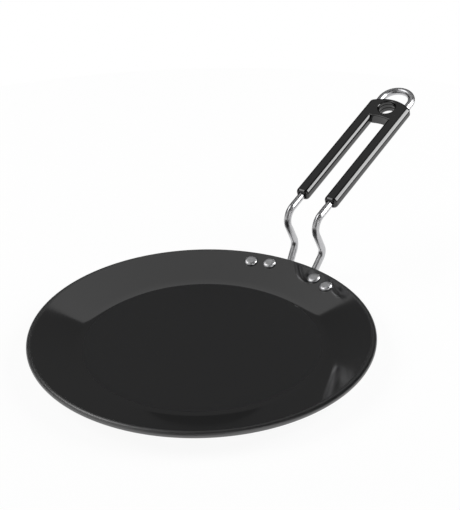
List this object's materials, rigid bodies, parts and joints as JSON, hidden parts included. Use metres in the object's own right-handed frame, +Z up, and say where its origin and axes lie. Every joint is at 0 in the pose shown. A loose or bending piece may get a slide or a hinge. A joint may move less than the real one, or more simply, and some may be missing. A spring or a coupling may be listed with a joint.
{
  "type": "tawa",
  "caption": "Flat round griddle plate with a shallow sloping wall, and a riveted bent-rod handle with a forked moulded grip and a hanging loop.",
  "frame": {"origin": "middle of the plate's flat underside, on the surface that it stands on", "axes": "+Z up, +X from the plate's middle out along the handle, +Y to the left of someone looking along +X"},
  "size_m": [0.4184, 0.26, 0.1168],
  "materials": {
    "plate": "dark hard finish, glossy",
    "rod": "polished bright steel",
    "grip": "glossy black moulding",
    "rivets": "bright, lightly brushed"
  },
  "bodies": {
    "root": {"tawa_plate": "plate", "handle_rod": "rod", "handle_grip": "grip", "rivet_left_outer": "rivets", "rivet_left_inner": "rivets", "rivet_right_inner": "rivets", "rivet_right_outer": "rivets"}
  },
  "joints": []
}
